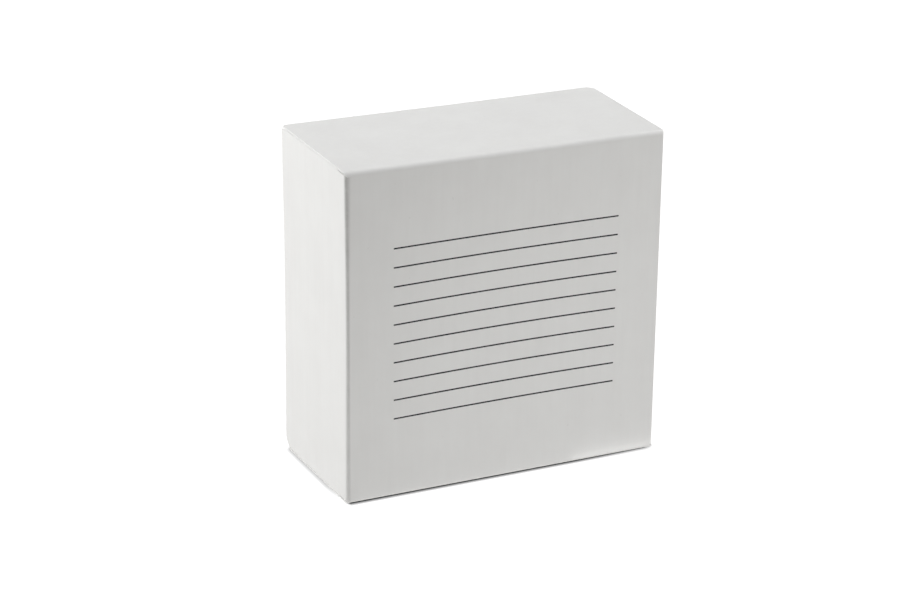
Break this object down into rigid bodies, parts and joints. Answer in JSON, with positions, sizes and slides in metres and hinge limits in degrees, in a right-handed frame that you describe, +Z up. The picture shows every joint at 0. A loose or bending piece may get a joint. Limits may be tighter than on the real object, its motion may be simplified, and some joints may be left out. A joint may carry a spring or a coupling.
{
  "type": "cryogenic storage box",
  "caption": "Square folded-board freezer box for cryogenic vials: a full-depth lid over a tray with a slotted divider grid, standing on one side wall.",
  "frame": {"origin": "under the middle of the closed box, on the surface it stands on", "axes": "+Z up, along the lid face's height; +X across the lid's face; the lid's face looks along -Y and the tray's floor along +Y, so Y is the box's depth"},
  "size_m": [0.133, 0.06, 0.133],
  "materials": {
    "lid_board": "white coated board, low sheen, faint upright fibre streaks, thin grey ruled lines on the face",
    "tray_board": "white coated board, low sheen",
    "divider_board": "off-white uncoated board, matte"
  },
  "bodies": {
    "tray": {"base_tray": "tray_board"},
    "upright_strips": {"upright_strip_1": "divider_board", "upright_strip_2": "divider_board", "upright_strip_3": "divider_board", "upright_strip_4": "divider_board", "upright_strip_5": "divider_board", "upright_strip_6": "divider_board", "upright_strip_7": "divider_board", "upright_strip_8": "divider_board"},
    "cross_strips": {"cross_strip_1": "divider_board", "cross_strip_2": "divider_board", "cross_strip_3": "divider_board", "cross_strip_4": "divider_board", "cross_strip_5": "divider_board", "cross_strip_6": "divider_board", "cross_strip_7": "divider_board", "cross_strip_8": "divider_board"},
    "lid": {"lid": "lid_board"}
  },
  "joints": [
    {"name": "divider_lift_out", "type": "slide", "parent": "tray", "child": "upright_strips", "axis": [0, -1, 0], "range_m": [0, 0.064]},
    {"name": "cross_strips_lift_off", "type": "slide", "parent": "upright_strips", "child": "cross_strips", "axis": [0, -1, 0], "range_m": [0, 0.042]},
    {"name": "lid_pull_off", "type": "slide", "parent": "cross_strips", "child": "lid", "axis": [0, -1, 0], "range_m": [0, 0.066]}
  ]
}
